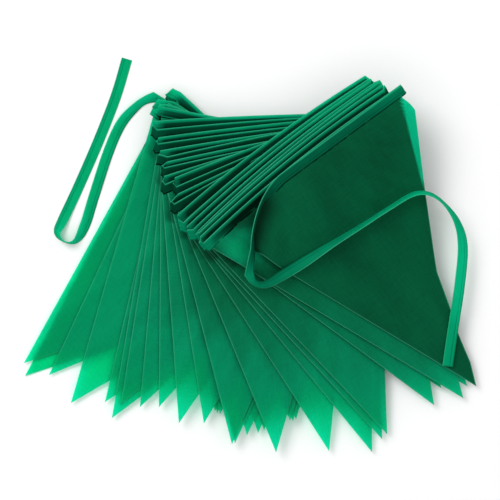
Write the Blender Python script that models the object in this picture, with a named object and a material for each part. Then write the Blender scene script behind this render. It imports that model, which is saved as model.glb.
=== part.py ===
"""A string of fabric bunting, gathered into a fanned stack and laid on a flat surface.

Thirty-two cut pennants lie one on another. One long folded tape is sewn along all their headings: it starts
as a free tie, runs back and forth through the stack with a loop between each pennant and the next, and ends
as the second free tie on top. Sizes are in millimetres until a point is placed, and Blender's units are metres.

The places in the tables are read on a square layout sheet: millimetres across from its left edge and down
from its far edge. Every pennant rests on the ones under it, so its height at any place is the sum of what
lies below it there. That keeps the layers apart wherever they cross.
"""

import math
from collections import namedtuple

import bmesh
import bpy
import numpy as np

MM = 0.001

# The cut pennant, its cloth and the tape
PENNANT_LENGTH = 289.0
HALF_HEADING = 116.0
CLOTH_THICK = 1.0
TAPE_WIDTH = 10.6
TAPE_THICK = 1.0
SEAM_GAP = 0.55

# How the stack lies: the gap kept between layers, how far a loop of bare tape reaches past the headings, and
# how far the tape stands off the lattice's surface, which it follows less closely than the cloth does
LAYER_GAP = 0.36
TAPE_GAP = 0.5
LOOP_REACH = 8.0
TAPE_SEAT = 0.3
TIE_SEAT = 0.6
TUCKED_STATIONS = 5

# The lattice that every sheet is bent on
CELL = 46.0
LATTICE_HALF = (253.0, 230.0)
EDGE_MARGIN = 0.02
SPREAD_STEPS = 90

# The layout sheet's point that becomes the origin
SHEET_CENTRE = (250.0, 254.5)

# A row for each pennant, from the lowest to the top one. The tip and the middle of the heading are on the
# layout sheet, and rise is how many degrees the heading climbs to the right.
Pennant = namedtuple("Pennant", "name tip_x tip_y mid_x mid_y rise")
PENNANTS = (
    Pennant("pennant_01", 25, 376, 243, 190, -50),
    Pennant("pennant_02", 24, 363, 248, 181, -50),
    Pennant("pennant_03", 49, 375, 265.8, 171.6, -43),
    Pennant("pennant_04", 71, 403, 249, 176, -37),
    Pennant("pennant_05", 105, 402, 271, 167, -34),
    Pennant("pennant_06", 112, 418, 265.1, 171.5, -29),
    Pennant("pennant_07", 121, 404, 275.4, 148.8, -23),
    Pennant("pennant_08", 140, 407, 277.3, 140.6, -18),
    Pennant("pennant_09", 159, 407, 275.8, 128.3, -10.5),
    Pennant("pennant_10", 215, 411, 270.9, 117.5, 2),
    Pennant("pennant_11", 217, 413, 273.7, 121.9, 4),
    Pennant("pennant_12", 220, 414, 274.4, 125.9, 6),
    Pennant("pennant_13", 179, 423, 274.3, 130.9, 6.5),
    Pennant("pennant_14", 204, 423, 275.9, 134.9, 8),
    Pennant("pennant_15", 264, 430, 281.9, 134.9, 11),
    Pennant("pennant_16", 258, 433, 282.1, 140.9, 10.5),
    Pennant("pennant_17", 247, 435, 278.9, 145.9, 11),
    Pennant("pennant_18", 235, 443, 276.5, 144.5, 16),
    Pennant("pennant_19", 232, 444, 274.3, 142.9, 21),
    Pennant("pennant_20", 296, 419, 284.5, 138.3, 20),
    Pennant("pennant_21", 293, 421, 284.6, 143.5, 22),
    Pennant("pennant_22", 290, 420, 285, 146.8, 24),
    Pennant("pennant_23", 276, 452, 277.4, 149.5, 28),
    Pennant("pennant_24", 329, 451, 271, 146, 36.6),
    Pennant("pennant_25", 372, 452, 275.5, 151.5, 37.8),
    Pennant("pennant_26", 382, 439, 278, 154.5, 38.5),
    Pennant("pennant_27", 387, 434, 283.5, 156.5, 39),
    Pennant("pennant_28", 441, 388, 287.5, 157.5, 39.5),
    Pennant("pennant_29", 434, 405, 289.5, 159.5, 39),
    Pennant("pennant_30", 467, 386, 291, 164, 38.8),
    Pennant("pennant_31", 463, 398, 294, 170, 39),
    Pennant("pennant_32", 476, 386, 304, 157, 36.5),
)
TOP = len(PENNANTS) - 1

# Where the near part of the top pennant's heading curls over: it starts CURL_START short of the middle, and
# the corner is carried CURL_ALONG along the heading, CURL_IN towards the tip and CURL_LIFT off the stack.
CURL_START = -30.0
CURL_ALONG = 18.0
CURL_IN = 42.0
CURL_LIFT = 9.0
CURL_DEPTH = 120.0
CURL_SLACK = 1.4
CURL_STATIONS = 11

# A row for each bend of a tie: its place on the layout sheet, how far the tape is rolled onto its edge in
# degrees, and a height above what lies there.
Bend = namedtuple("Bend", "x y roll lift")
FIRST_TIE = (
    Bend(127, 59, 0, 0),
    Bend(116, 96, 0, 0),
    Bend(98.5, 141, 0, 0),
    Bend(78.5, 187, 0, 0),
    Bend(63.5, 219, 12, 0),
    Bend(57.5, 233, 50, 0),
    Bend(65, 242, 86, 0),
    Bend(76, 241, 60, 0),
    Bend(85, 225, 14, 0),
    Bend(94, 196, 0, 0),
    Bend(108, 153, 0, 0),
    Bend(121, 124, 10, 0),
    Bend(136, 107, 38, 0),
    Bend(146, 100, 40, 0),
    Bend(155, 97, 12, 0),
)
LAST_TIE = (
    Bend(249, 273, 22, 1.5),
    Bend(254, 282, 56, 1.5),
    Bend(266, 284, 46, 2.5),
    Bend(284, 274, 16, 5.0),
    Bend(302, 264, 24, 3.2),
    Bend(330, 246, 48, 0.6),
    Bend(360, 228, 56, 0),
    Bend(388, 210, 55, 0),
    Bend(411, 196, 55, 0.4),
    Bend(427, 194, 66, 0.8),
    Bend(442, 203, 70, 1.2),
    Bend(456, 222, 50, 0.8),
    Bend(462, 247, 16, 0),
    Bend(459, 285, 0, 0),
    Bend(453, 325, 0, 0),
    Bend(447, 366, 0, 0),
)

# How close the tape's bends come
LEAST_STATION = 10.0
LOWER_LOOP = (0.5, 1.0)
UPPER_LOOP = (1.0, 0.5)
TIE_STATION_GAP = 11.0

Colour = namedtuple("Colour", "red green blue alpha")
CLOTH_GREEN = Colour(0.0, 0.30, 0.12, 1.0)
TAPE_GREEN = Colour(0.0, 0.36, 0.16, 1.0)


def on_table(x, y):
    """A place on the layout sheet as a point about the origin."""
    return np.array((x - SHEET_CENTRE[0], SHEET_CENTRE[1] - y), float)


def smooth(low, high, value):
    """0 below low and 1 above high, with a smooth climb between."""
    share = np.clip((value - low) / (high - low), 0.0, 1.0)
    return share * share * (3.0 - 2.0 * share)


class Layer:
    """One pennant laid flat: its heading's middle and direction, and its corners."""

    def __init__(self, row):
        angle = math.radians(row.rise)
        self.mid = on_table(row.mid_x, row.mid_y)
        self.tip = on_table(row.tip_x, row.tip_y)
        self.along = np.array((math.cos(angle), math.sin(angle)))
        self.inward = np.array((math.sin(angle), -math.cos(angle)))
        self.down = (self.tip - self.mid) / PENNANT_LENGTH

    def place(self, across, depth, taper):
        """The point that lies across from the heading's middle and depth below the heading."""
        width = across * (1.0 - depth / PENNANT_LENGTH) if taper else across
        return self.mid + np.multiply.outer(width, self.along) + np.multiply.outer(depth, self.down)


LAYERS = [Layer(row) for row in PENNANTS]


class Pile:
    """The top of everything laid so far. Its heights are kept at the nodes of one lattice of square cells, each
    cut along the same diagonal, and every sheet is bent on the same lattice. So a sheet that is higher at the
    nodes is higher everywhere."""

    def __init__(self):
        self.count = np.ceil(2 * np.array(LATTICE_HALF) / CELL).astype(int) + 1
        self.top = np.zeros(self.count)

    def triangle(self, spots):
        """The lattice triangle at each place: its three nodes, and their weights there."""
        place = (spots + np.array(LATTICE_HALF)) / CELL
        low = np.clip(np.floor(place).astype(int), 0, self.count - 2)
        part = place - low
        across = part[:, 0] >= part[:, 1]
        side = low + np.where(across[:, None], (1, 0), (0, 1))
        more, less = part.max(axis=1), part.min(axis=1)
        return np.stack((low, side, low + 1)), np.stack((1.0 - more, more - less, less))

    def height(self, spots, field):
        """The height of a field of node heights at each place."""
        nodes, weights = self.triangle(spots)
        return (weights * field[nodes[..., 0], nodes[..., 1]]).sum(axis=0)

    def drape(self):
        """Node heights for the next sheet: on the pile, and drooping softly past its edges."""
        wide = np.pad(self.top, 1, mode="edge")
        size = self.top.shape
        around = sum(wide[i:i + size[0], j:j + size[1]] for i in range(3) for j in range(3)) / 9
        return np.maximum(self.top, around)

    def cover(self, spots, field, rise):
        """Lays a sheet that follows the field: the nodes about it come up by its rise."""
        nodes = self.triangle(spots)[0].reshape(-1, 2)
        column, row = nodes[:, 0], nodes[:, 1]
        self.top[column, row] = np.maximum(self.top[column, row], field[column, row] + rise)

    def clear(self, spots, heights):
        """Brings nodes up until the pile is no lower than these heights, and none of them past its height."""
        nodes, weights = self.triangle(spots)
        for column, row, weight, height in zip(nodes[..., 0].T, nodes[..., 1].T, weights.T, heights):
            values = self.top[column, row]
            for _ in range(4):
                low = values < height
                lack = height - weight @ values
                if lack <= 0.0:
                    break
                values[low] += lack * weight[low] / (weight[low] ** 2).sum()
                values = np.where(low, np.minimum(values, height), values)
            if weight @ values < height:
                values = np.maximum(values, height)
            self.top[column, row] = values


def curl(level, across, depth):
    """What the curled corner of the top pennant adds to a place: shift on the table, and lift."""
    if level != TOP:
        return np.zeros((len(across), 2)), np.zeros(len(across))
    reach = np.clip((CURL_START - across) / (HALF_HEADING + CURL_START), 0.0, 1.2)
    amount = reach**1.6 * (1.0 - smooth(0.0, CURL_DEPTH, depth))
    layer = LAYERS[level]
    shift = np.multiply.outer(amount, CURL_ALONG * layer.along + CURL_IN * layer.inward)
    return shift, CURL_LIFT * np.sin(np.pi * np.clip(amount, 0.0, 1.0)) + 2.0 * amount


def corners(level, depth):
    """The outline of a pennant from that depth down to its tip."""
    ends = LAYERS[level].place(np.array((-HALF_HEADING, HALF_HEADING)), np.array((depth, depth)), True)
    return np.vstack((ends, LAYERS[level].tip))


def spread(level):
    """Places all over a pennant and its tape, and just past their edges."""
    outline = corners(level, 0.0)
    outline = outline + (outline - outline.mean(axis=0)) * EDGE_MARGIN
    share = np.linspace(0.0, 1.0, SPREAD_STEPS)
    one, two = (grid.ravel() for grid in np.meshgrid(share, share))
    weights = np.column_stack((1.0 - one, one * (1.0 - two), one * two))
    return weights @ outline


def new_material(name, colour, roughness):
    material = bpy.data.materials.new(name)
    material.use_nodes = True
    shader = material.node_tree.nodes["Principled BSDF"]
    shader.inputs["Base Color"].default_value = colour
    shader.inputs["Roughness"].default_value = roughness
    shader.inputs["Metallic"].default_value = 0.0
    return material


def sheet_object(name, shape, collection, material):
    bmesh.ops.recalc_face_normals(shape, faces=shape.faces)
    mesh = bpy.data.meshes.new(name)
    shape.to_mesh(mesh)
    shape.free()
    mesh.materials.append(material)
    collection.objects.link(bpy.data.objects.new(name, mesh))


def flat_grid(columns, rows):
    """A bmesh grid, each cell cut along the same diagonal, and its vertices in order, row by row."""
    shape = bmesh.new()
    bmesh.ops.create_grid(shape, x_segments=columns - 1, y_segments=rows - 1, size=1.0)
    order = sorted(shape.verts, key=lambda vert: (round(vert.co.y, 5), round(vert.co.x, 5)))
    number = {vert: count for count, vert in enumerate(order)}
    for face in list(shape.faces):
        ends = sorted(face.verts, key=number.get)
        bmesh.utils.face_split(face, ends[0], ends[3])
    return shape, order


def make_pennant(pile, level, field, collection, material):
    """One pennant's solid: the lattice cut along its edges and given its thickness."""
    outline = corners(level, TAPE_WIDTH + SEAM_GAP)
    half = np.array(LATTICE_HALF)
    low = np.floor((outline.min(axis=0) + half) / CELL).astype(int)
    high = np.ceil((outline.max(axis=0) + half) / CELL).astype(int)
    columns, rows = high - low + 1
    shape, order = flat_grid(columns, rows)
    for count, vert in enumerate(order):
        column, row = low[0] + count % columns, low[1] + count // columns
        vert.co = (column * CELL - half[0], row * CELL - half[1], field[column, row])
    middle = outline.mean(axis=0)
    for start, end in zip(outline, np.roll(outline, -1, axis=0)):
        outward = np.array((end[1] - start[1], start[0] - end[0]))
        outward *= math.copysign(1.0, (start - middle) @ outward)
        everything = [*shape.verts, *shape.edges, *shape.faces]
        bmesh.ops.bisect_plane(
            shape, geom=everything, dist=0.05, plane_co=(*start, 0.0), plane_no=(*outward, 0.0), clear_outer=True
        )
    bmesh.ops.remove_doubles(shape, verts=shape.verts, dist=0.2)
    if level == TOP:
        curl_corner(pile, shape, field)
    bmesh.ops.scale(shape, vec=(MM, MM, MM), verts=shape.verts)
    made = bmesh.ops.extrude_face_region(shape, geom=shape.faces[:])["geom"]
    raised = [item for item in made if isinstance(item, bmesh.types.BMVert)]
    bmesh.ops.translate(shape, vec=(0.0, 0.0, CLOTH_THICK * MM), verts=raised)
    sheet_object(PENNANTS[level].name, shape, collection, material)


def curl_corner(pile, shape, field):
    """Carries the near corner of the top pennant along, in and up, a little behind its tape."""
    layer = LAYERS[TOP]
    bmesh.ops.subdivide_edges(shape, edges=shape.edges[:], cuts=1, use_grid_fill=True)
    bmesh.ops.triangulate(shape, faces=shape.faces[:])
    for vert in shape.verts:
        spot = np.array(vert.co[:2])
        depth = (spot - layer.mid) @ layer.inward
        across = (spot - layer.mid) @ layer.along
        shift, lift = curl(TOP, np.array([across]), np.array([depth]))
        if lift[0] > 0.0:
            spot = spot + shift[0] + CURL_SLACK * min(1.0, lift[0]) * layer.inward
            vert.co = (*spot, pile.height(spot[None], field)[0] + lift[0])


def heading_stations(level):
    """Where the tape bends along a heading: at its ends and where it crosses the lattice's lines."""
    layer = LAYERS[level]
    start, end = (layer.place(side * HALF_HEADING, TAPE_WIDTH / 2, False) for side in (-1.0, 1.0))
    lines = [[0.0, 1.0]]
    for square in ((1.0, 0.0), (0.0, 1.0), (1.0, -1.0)):
        first, last = ((point + np.array(LATTICE_HALF)) @ np.array(square) / CELL for point in (start, end))
        crossed = np.arange(math.ceil(min(first, last)), math.floor(max(first, last)) + 1)
        lines.append((crossed - first) / (last - first) if abs(last - first) > 0.05 else [])
    if level == TOP:
        lines.append(np.linspace(0.0, 0.5, CURL_STATIONS))
    least = LEAST_STATION / (2 * HALF_HEADING)
    kept = [0.0]
    for share in np.sort(np.concatenate(lines))[1:]:
        if share - kept[-1] > least and share < 1.0 - least:
            kept.append(share)
    return (np.array([*kept, 1.0]) * 2.0 - 1.0) * HALF_HEADING


def lay_heading(pile, level, field):
    """The tape's underside along one heading, in the way that the tape is sewn."""
    across = heading_stations(level)
    if level % 2:
        across = across[::-1]
    across = np.repeat(across, 2)
    depth = np.tile((0.0, TAPE_WIDTH), len(across) // 2)
    shift, lift = curl(level, across, depth)
    spots = LAYERS[level].place(across, depth, False) + shift
    return np.column_stack((spots, pile.height(spots, field) + TAPE_SEAT + lift))


def loop_spots(level, depth, share, half):
    """One edge of half a loop of bare tape, seen from above: 0 where it leaves the heading and 1 at the fold. The
    lower half (0) leaves this pennant and the upper half (1) comes to the next one."""
    side = -1.0 if level % 2 else 1.0
    ends = [
        LAYERS[count].place(side * HALF_HEADING, depth, False)
        + curl(count, np.array([side * HALF_HEADING]), np.array([depth]))[0][0]
        for count in (level, level + 1)
    ]
    out = side * (LAYERS[level].along + LAYERS[level + 1].along)
    out = out / np.linalg.norm(out)
    farthest = max(end @ out for end in ends)
    middle = (ends[0] + ends[1]) / 2
    fold = middle + out * (farthest + LOOP_REACH - middle @ out)
    return ends[half] + np.multiply.outer(np.array(share), fold - ends[half])


def half_loop(pile, field, level, share, half):
    """Half of a loop, on what it lies on."""
    edges = (loop_spots(level, depth, share, half) for depth in (0.0, TAPE_WIDTH))
    edges = [np.column_stack((spots, pile.height(spots, field) + TAPE_SEAT)) for spots in edges]
    return np.stack(edges, axis=1).reshape(-1, 3)


def smooth_route(bends):
    """Points a little apart on a Catmull-Rom curve through the bends: x, y, roll and lift."""
    knots = np.array([(*on_table(bend.x, bend.y), bend.roll, bend.lift) for bend in bends])
    knots = np.vstack((2 * knots[0] - knots[1], knots, 2 * knots[-1] - knots[-2]))
    route = []
    for before, start, end, after in zip(knots, knots[1:], knots[2:], knots[3:]):
        steps = max(1, round(float(np.linalg.norm(end[:2] - start[:2])) / TIE_STATION_GAP))
        for t in np.arange(steps) / steps:
            route.append(
                0.5 * (2 * start + (end - before) * t + (2 * before - 5 * start + 4 * end - after) * t**2
                       + (3 * start - before - 3 * end + after) * t**3)
            )
    return np.array([*route, knots[-2]])


def lay_tie(pile, field, bends, outer_side, seat):
    """A tie on the field. outer_side is 1 where the tape's outer edge is on the left of its way."""
    route = smooth_route(bends)
    way = np.gradient(route[:, :2], axis=0)
    way = way / np.linalg.norm(way, axis=1)[:, None]
    left = np.column_stack((-way[:, 1], way[:, 0]))
    roll = np.radians(np.clip(route[:, 2], 0.0, 90.0))
    half = TAPE_WIDTH / 2
    edges = []
    for side in (outer_side, -outer_side):
        flat = route[:, :2] + left * (side * half * np.cos(roll))[:, None]
        rise = half * np.sin(roll) * (1.0 + side) + np.clip(route[:, 3], 0.0, None)
        base = np.maximum(pile.height(flat, field), pile.height(route[:, :2], field))
        edges.append(np.column_stack((flat, base + seat + rise)))
    return np.stack(edges, axis=1).reshape(-1, 3)


def clear_tape(pile, points):
    """Brings the pile up over a stretch of tape."""
    edges = points.reshape(-1, 2, 3)
    share = np.linspace(0.0, 1.0, 6)[:, None, None, None]
    along = edges[:-1] * (1.0 - share) + edges[1:] * share
    width = np.linspace(-0.1, 1.1, 4)[:, None, None, None]
    every = (along[None, :, :, 0] * (1.0 - width) + along[None, :, :, 1] * width).reshape(-1, 3)
    pile.clear(every[:, :2], every[:, 2] + TAPE_THICK + TAPE_GAP)


def thick_tape(points):
    """The tape's lower and upper face, from its underside: the thickness is square to its run and width."""
    edges = points.reshape(-1, 2, 3)
    run = np.gradient(edges.mean(axis=1), axis=0)
    normal = np.cross(run, edges[:, 1] - edges[:, 0])
    normal = normal / np.linalg.norm(normal, axis=1)[:, None]
    middle = edges + np.array((0.0, 0.0, TAPE_THICK / 2))
    half = (normal * TAPE_THICK / 2)[:, None, :]
    return (middle - half).reshape(-1, 3), (middle + half).reshape(-1, 3)


def main():
    for existing in list(bpy.data.objects):
        bpy.data.objects.remove(existing, do_unlink=True)
    collection = bpy.data.collections.new("bunting")
    bpy.context.scene.collection.children.link(collection)
    cloth = new_material("pennant_cloth", CLOTH_GREEN, 0.85)
    tape_cloth = new_material("tape_cloth", TAPE_GREEN, 0.7)

    pile = Pile()
    tape = [lay_tie(pile, pile.top, FIRST_TIE, 1.0, 0.0)]
    clear_tape(pile, tape[0][-2 * TUCKED_STATIONS:])
    for level in range(len(LAYERS)):
        field = pile.drape()
        make_pennant(pile, level, field, collection, cloth)
        heading = lay_heading(pile, level, field)
        if level:
            upper = half_loop(pile, field, level - 1, UPPER_LOOP, 1)
            tape.append(upper)
        tape.append(heading)
        pile.cover(spread(level), field, CLOTH_THICK + LAYER_GAP)
        if level:
            clear_tape(pile, np.vstack((upper, heading[:2])))
        if level < TOP:
            clear_tape(pile, heading)
            lower = half_loop(pile, field, level, LOWER_LOOP, 0)
            tape.append(lower)
            clear_tape(pile, np.vstack((heading[-2:], lower)))
    tape.append(lay_tie(pile, pile.drape(), LAST_TIE, -1.0, TIE_SEAT))
    lower, upper = thick_tape(np.vstack(tape))
    shape, order = flat_grid(2, len(lower) // 2)
    made = bmesh.ops.extrude_face_region(shape, geom=shape.faces[:])["geom"]
    raised = [item for item in made if isinstance(item, bmesh.types.BMVert)]
    number = {(round(vert.co.x, 5), round(vert.co.y, 5)): count for count, vert in enumerate(order)}
    for vert in raised:
        vert.co = upper[number[round(vert.co.x, 5), round(vert.co.y, 5)]] * MM
    for vert, point in zip(order, lower):
        vert.co = point * MM
    sheet_object("tape", shape, collection, tape_cloth)


main()
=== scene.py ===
"""Fabric bunting: the visual model.

Thirty-two green cut pennants lie one on another in a fan, and one folded tape is sewn along all their
headings. It starts as a free tie, runs back and forth through the stack and ends as a second free tie on it.
Sizes are millimetres, and the places in the tables are read on a square layout sheet.
"""

import math
from collections import namedtuple

import bmesh
import bpy
import numpy as np
from bpy.props import FloatProperty, FloatVectorProperty, PointerProperty
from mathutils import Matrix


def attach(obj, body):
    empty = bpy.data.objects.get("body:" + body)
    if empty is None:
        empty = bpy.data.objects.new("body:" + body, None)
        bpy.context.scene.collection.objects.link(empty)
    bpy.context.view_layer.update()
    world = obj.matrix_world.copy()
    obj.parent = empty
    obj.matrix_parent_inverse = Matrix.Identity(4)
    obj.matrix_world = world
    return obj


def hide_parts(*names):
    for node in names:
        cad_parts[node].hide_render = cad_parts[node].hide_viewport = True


bl_info = {
    "name": "Fabric bunting",
    "version": (1, 0, 0),
    "blender": (4, 5, 0),
    "location": "View3D > Sidebar > Bunting",
    "description": "Lays a gathered string of fabric pennants and its folded tape",
    "category": "Add Mesh",
}

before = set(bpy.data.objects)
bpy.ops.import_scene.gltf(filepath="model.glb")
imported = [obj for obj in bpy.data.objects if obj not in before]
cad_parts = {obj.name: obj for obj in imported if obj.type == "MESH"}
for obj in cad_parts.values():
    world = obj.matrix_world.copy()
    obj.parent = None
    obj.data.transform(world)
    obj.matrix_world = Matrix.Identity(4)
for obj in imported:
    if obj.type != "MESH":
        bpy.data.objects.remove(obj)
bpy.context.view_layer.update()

MM = 0.001

# The cut pennant and the tape, how thick and how far apart they were packed, and how far a loop reaches out
PENNANT_LENGTH = 289.0
HALF_HEADING = 116.0
CLOTH_THICK = 1.0
TAPE_WIDTH = 10.6
TAPE_THICK = 1.0
LAYER_GAP = 0.36
TAPE_GAP = 0.5
LOOP_REACH = 8.0
TAPE_SEAT = 0.3
TUCKED_STATIONS = 5

# The middle of the layout sheet, which lies over the origin
SHEET_CENTRE = (250.0, 254.5)

# The lattice that every sheet is bent on, and how finely and how far past its edges a pennant is felt on it
CELL = 46.0
LATTICE_HALF = (253.0, 230.0)
EDGE_MARGIN = 0.02
SPREAD_STEPS = 90

# A row for each pennant, from the lowest to the top one: its tip and the middle of its heading on the layout
# sheet, and how many degrees the heading climbs to the right
Pennant = namedtuple("Pennant", "name tip_x tip_y mid_x mid_y rise")
PENNANTS = (
    Pennant("pennant_01", 25, 376, 243, 190, -50),
    Pennant("pennant_02", 24, 363, 248, 181, -50),
    Pennant("pennant_03", 49, 375, 265.8, 171.6, -43),
    Pennant("pennant_04", 71, 403, 249, 176, -37),
    Pennant("pennant_05", 105, 402, 271, 167, -34),
    Pennant("pennant_06", 112, 418, 265.1, 171.5, -29),
    Pennant("pennant_07", 121, 404, 275.4, 148.8, -23),
    Pennant("pennant_08", 140, 407, 277.3, 140.6, -18),
    Pennant("pennant_09", 159, 407, 275.8, 128.3, -10.5),
    Pennant("pennant_10", 215, 411, 270.9, 117.5, 2),
    Pennant("pennant_11", 217, 413, 273.7, 121.9, 4),
    Pennant("pennant_12", 220, 414, 274.4, 125.9, 6),
    Pennant("pennant_13", 179, 423, 274.3, 130.9, 6.5),
    Pennant("pennant_14", 204, 423, 275.9, 134.9, 8),
    Pennant("pennant_15", 264, 430, 281.9, 134.9, 11),
    Pennant("pennant_16", 258, 433, 282.1, 140.9, 10.5),
    Pennant("pennant_17", 247, 435, 278.9, 145.9, 11),
    Pennant("pennant_18", 235, 443, 276.5, 144.5, 16),
    Pennant("pennant_19", 232, 444, 274.3, 142.9, 21),
    Pennant("pennant_20", 296, 419, 284.5, 138.3, 20),
    Pennant("pennant_21", 293, 421, 284.6, 143.5, 22),
    Pennant("pennant_22", 290, 420, 285, 146.8, 24),
    Pennant("pennant_23", 276, 452, 277.4, 149.5, 28),
    Pennant("pennant_24", 329, 451, 271, 146, 36.6),
    Pennant("pennant_25", 372, 452, 275.5, 151.5, 37.8),
    Pennant("pennant_26", 382, 439, 278, 154.5, 38.5),
    Pennant("pennant_27", 387, 434, 283.5, 156.5, 39),
    Pennant("pennant_28", 441, 388, 287.5, 157.5, 39.5),
    Pennant("pennant_29", 434, 405, 289.5, 159.5, 39),
    Pennant("pennant_30", 467, 386, 291, 164, 38.8),
    Pennant("pennant_31", 463, 398, 294, 170, 39),
    Pennant("pennant_32", 476, 386, 304, 157, 36.5),
)
TOP = len(PENNANTS) - 1

# The curled corner of the top pennant: where on the heading it starts, how it grows from there and where it
# stops, how far it moves the corner along the heading and in from it, how high it lifts the middle of the
# curl and the corner, how deep into the cloth it goes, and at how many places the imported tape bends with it
CURL_START = -30.0
CURL_POWER = 1.6
CURL_MOST = 1.2
CURL_ALONG = 18.0
CURL_IN = 42.0
CURL_LIFT = 9.0
CURL_RISE = 2.0
CURL_DEPTH = 120.0
CURL_STATIONS = 11

# A row for each bend of a tie: its place on the layout sheet, its roll onto its edge in degrees, and its
# lift. The roll brings the left edge up, or the right one where it is less than nothing.
Bend = namedtuple("Bend", "x y roll lift")
FIRST_TIE = (
    Bend(127, 59, 0, 0),
    Bend(116, 96, 0, 0),
    Bend(98.5, 141, 0, 0),
    Bend(78.5, 187, 0, 0),
    Bend(63.5, 219, 12, 0),
    Bend(57.5, 233, 50, 0),
    Bend(65, 242, 86, 0),
    Bend(76, 241, 60, 0),
    Bend(85, 225, 14, 0),
    Bend(94, 196, 0, 0),
    Bend(108, 153, 0, 0),
    Bend(121, 124, 10, 0),
    Bend(136, 107, 38, 0),
    Bend(146, 100, 40, 0),
    Bend(155, 97, 12, 0),
)
LAST_TIE = (
    Bend(249, 273, 22, 1.5),
    Bend(254, 282, 56, 1.5),
    Bend(266, 284, 46, 2.5),
    Bend(284, 274, 16, 5.0),
    Bend(302, 263, -10, 3.2),
    Bend(330, 245, -48, 0.6),
    Bend(360, 226.5, -63, 0),
    Bend(388, 208.5, -66, 0),
    Bend(411, 195, -64, 0.4),
    Bend(427, 194, -68, 0.8),
    Bend(442, 203, -72, 1.2),
    Bend(456, 222, -50, 0.8),
    Bend(462, 247, -16, 0),
    Bend(459, 285, 0, 0),
    Bend(453, 325, 0, 0),
    Bend(447, 366, 0, 0),
)

# How the tape was packed: the least distance between its bends, how many cells a heading must cross to bend
# at their lines, its places along each half of a loop, and the distance between a tie's bends
LEAST_STATION = 10.0
LEAST_CROSSING = 0.05
LOWER_LOOP = (0.5, 1.0)
UPPER_LOOP = (1.0, 0.5)
TIE_STATION_GAP = 11.0

# How a stretch of packed tape is felt on the pile: at how many places along it and across it, how far past
# its edges as a share of its width, and in how many rounds the nodes about a place come up
CLEAR_ALONG = 6
CLEAR_ACROSS = 4
CLEAR_PAST = 0.1
CLEAR_ROUNDS = 4

# How finely the visible cloth is cut up, how much finer the top one is and how its columns close up to the
# right, and how far below the outer edge of its tape each cloth starts
CLOTH_COLUMNS = 41
CLOTH_ROWS = 61
TOP_FINER = 2
TOP_SPACING = 1.6
TUCK_DEPTH = 8.7

# How finely the visible tape is cut up, how far its loops reach out, and how high the ties lie over what is
# below them
HEADING_STEP = 6.0
TIE_STEP = 3.0
SHORT_REACH = 1.0
LOOP_SHARES = (0.25, 0.5, 0.75, 0.95)
FOLD_STATIONS = 6
FIRST_SEAT = 0.62
LAST_SEAT = 1.1

# The tape across its width, from its fold to its stitched edge: place and half of its thickness
Across = namedtuple("Across", "width half")
TAPE_PROFILE = (
    Across(0.0, 0.0),
    Across(0.18, 0.26),
    Across(0.8, 0.46),
    Across(2.0, 0.55),
    Across(3.8, 0.56),
    Across(5.6, 0.46),
    Across(6.7, 0.32),
    Across(7.2, 0.24),
    Across(7.7, 0.30),
    Across(8.8, 0.35),
    Across(10.0, 0.31),
    Across(10.45, 0.18),
    Across(10.6, 0.0),
)

# The ridge that the fold of the tape makes along a heading: its height, its place and its width, and over how
# many stations it comes in
RIDGE_HEIGHT = 1.6
RIDGE_PLACE = 1.2
RIDGE_WIDTH = 2.4
RIDGE_BLUR = 7

# How far each heading bows out of its straight line, and how deep into the cloth the bow reaches
BOWS = (0.0,) * 9 + (2.0,) * 14 + (5.0,) * 8 + (0.0,)
BOW_DEPTH = 110.0

# How far a heading's shade reaches over the tape of the few layers just below it, and over anything else, how
# far from its ends it fades out on tape and on cloth, how deep it goes and how dark it is on cloth
NEAR_LAYERS = 3
NEAR_SHADE = 14.0
FAR_SHADE = 5.0
TAPE_FADE = 5.0
CLOTH_FADE = 14.0
SHADED_DEPTH = 40.0
HEADING_SHARE = 0.75

# How far a cut edge's shade reaches and how dark it is, and how softly a layer ends where layers are counted
EDGE_SHADE = 3.0
EDGE_SHARE = 0.35
SOFT_EDGE = 1.5

# The headings that are sunk between their neighbours, how much painted shade they and the top one get, how
# the painted shade of a gap falls off, and between which places in from its fold a tape takes on either
SUNK = (10, 12, 14, 16, 18, 20, 22)
SUNK_SHADE = 0.85
TOP_SHADE = 0.6
GAP_POWER = 0.3
GAP_FROM_FOLD = (1.5, 3.1)
OWN_SHADE_FROM_FOLD = (0.3, 2.0)

# This many layers under a place take most of the light that would come back through the cloth. That light is
# painted into the cloth's colour and also sets how much of it glows. There is less of it still on the right,
# and in the upper layers as far as their tips.
DARK_STACK = 8.5
RIGHT_SHADE = 0.2
RIGHT_PART = (60.0, 200.0)
UPPER_SHADE = 0.65
UPPER_LEVELS = (17.0, 29.0)
UPPER_TIPS = (215.0, 280.0)

# On the layout sheet: the line beyond which the top pennant lies alone and how softly it starts and ends, the
# heights between which the painted shade of the wedge beside its curl fades out, and the patch of painted
# light below that
SINGLE_LINE = ((399.0, 103.0), (422.5, 192.0))
SINGLE_START = (-0.5, 1.5)
SINGLE_END = 14.0
WEDGE = (239.0, 224.0)
WEDGE_SHADE = 0.97
LIT_PATCH = (243.0, 246.0)
LIT_PATCH_REACH = 18.0

# The curled heading of the top pennant turns up on its edge: how far in degrees, between which places of the
# heading that starts, between which it falls back and how far, and how deep into the cloth it pulls
STAND_TURN = 70.0
STAND_START = (-38.0, -66.0)
STAND_END = (-98.0, -116.0)
STAND_FALL = 0.6
STAND_DEPTH = 70.0

# The painted shadow inside that curl along and in from the heading, and where the heading's shade on what
# lies below comes in beside it
INSIDE_ALONG = (-42.0, -66.0)
INSIDE_DEEP = (38.0, 14.0)
INSIDE_SHADOW = 0.85
CURL_PART = (-62.0, -40.0)

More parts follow.
